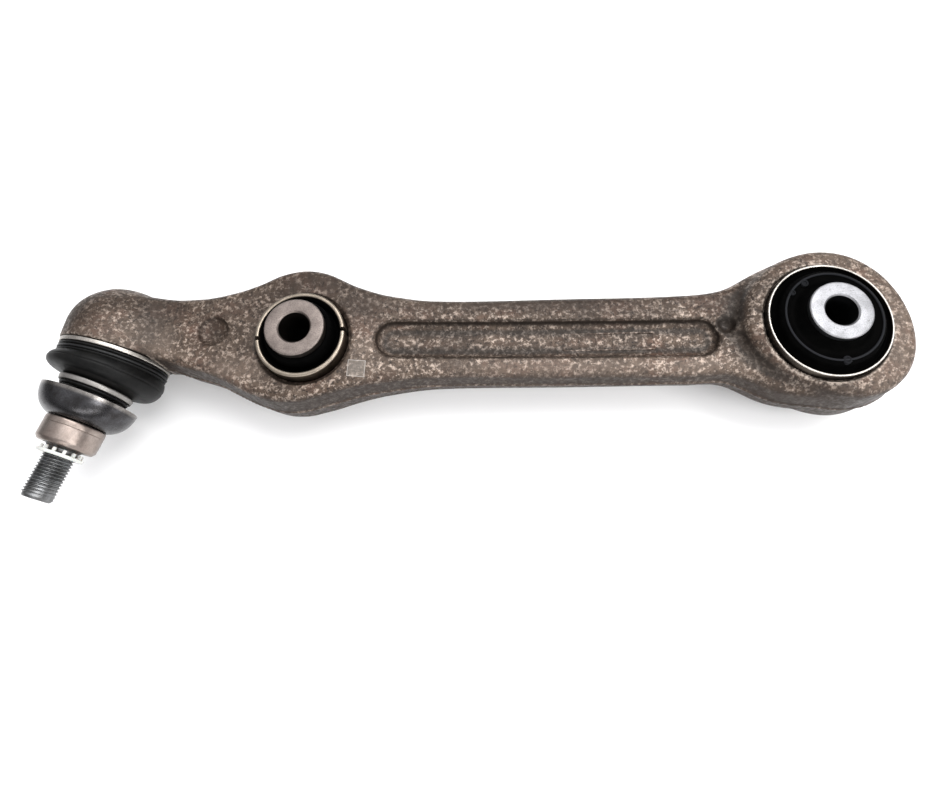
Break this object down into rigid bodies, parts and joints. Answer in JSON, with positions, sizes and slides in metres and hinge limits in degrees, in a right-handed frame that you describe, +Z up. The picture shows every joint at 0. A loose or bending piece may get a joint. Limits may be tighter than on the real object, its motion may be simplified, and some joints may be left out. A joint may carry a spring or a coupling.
{
  "type": "suspension control arm",
  "caption": "Forged aluminium lower control arm with a large rubber bush, a damper-fork bush and a booted ball joint with a threaded stud.",
  "frame": {"origin": "centre of the footprint, on the surface that the arm lies on", "axes": "+Z up along both bush axes, +X from the ball joint to the large bush"},
  "size_m": [0.4118, 0.1128, 0.062],
  "materials": {
    "forged_aluminium": "forged and blasted, oxidised, dark in the recesses",
    "bright_steel": "turned, bright",
    "polished_steel": "polished",
    "gilt_steel": "passivated, warm grey",
    "grey_steel": "satin",
    "clamp_steel": "blackened spring steel",
    "zinc_steel": "zinc coated",
    "collar_steel": "turned, warm grey",
    "sleeve_steel": "turned, pinkish grey",
    "sleeve_aluminium": "sawn, speckled",
    "boot_rubber": "smooth moulded",
    "bush_rubber": "matt moulded",
    "seat_plastic": "natural",
    "white_plastic": "translucent white"
  },
  "bodies": {
    "arm": {"arm_forging": "forged_aluminium", "ball_seat": "seat_plastic", "seat_pressure_ring": "bright_steel", "socket_closing_ring": "bright_steel", "boot": "boot_rubber", "boot_clamp_ring": "clamp_steel", "large_bush_outer_shell": "bright_steel", "large_bush_rubber": "bush_rubber", "damper_bush_outer_shell_upper": "gilt_steel", "damper_bush_outer_shell_lower": "gilt_steel", "damper_bush_rubber": "bush_rubber"},
    "ball": {"ball": "polished_steel"},
    "boot_foot": {"boot_foot_ring": "grey_steel", "boot_seal_lip": "boot_rubber"},
    "stud": {"ball_stud": "zinc_steel", "deflector_dish": "polished_steel", "stud_collar": "collar_steel", "thread_retainer": "white_plastic"},
    "large_sleeve": {"large_bush_inner_sleeve": "sleeve_aluminium"},
    "damper_sleeve": {"damper_bush_inner_sleeve": "sleeve_steel"}
  },
  "joints": [
    {"name": "stud_sweep", "type": "hinge", "parent": "arm", "child": "ball", "pos_m": [-0.17392, 0.02663, 0.031], "axis": [0.018, 0.0572, 0.9982], "range_deg": [-15, 23.5], "deforming": ["boot"]},
    {"name": "stud_tilt", "type": "hinge", "parent": "ball", "child": "boot_foot", "pos_m": [-0.17392, 0.02663, 0.031], "axis": [-0.9538, 0.3006, 0], "range_deg": [-20.5, 13.5], "deforming": ["boot"]},
    {"name": "stud_spin", "type": "hinge", "parent": "boot_foot", "child": "stud", "pos_m": [-0.17392, 0.02663, 0.031], "axis": [-0.3, -0.952, 0.06], "continuous": true},
    {"name": "large_bush_twist", "type": "hinge", "parent": "arm", "child": "large_sleeve", "pos_m": [0.16558, 0.01793, 0.031], "axis": [0, 0, 1], "range_deg": [-15, 15], "stiffness_Nm_per_rad": 60},
    {"name": "damper_bush_twist", "type": "hinge", "parent": "arm", "child": "damper_sleeve", "pos_m": [-0.07622, 0.01793, 0.031], "axis": [0, 0, 1], "range_deg": [-15, 15], "stiffness_Nm_per_rad": 60}
  ]
}
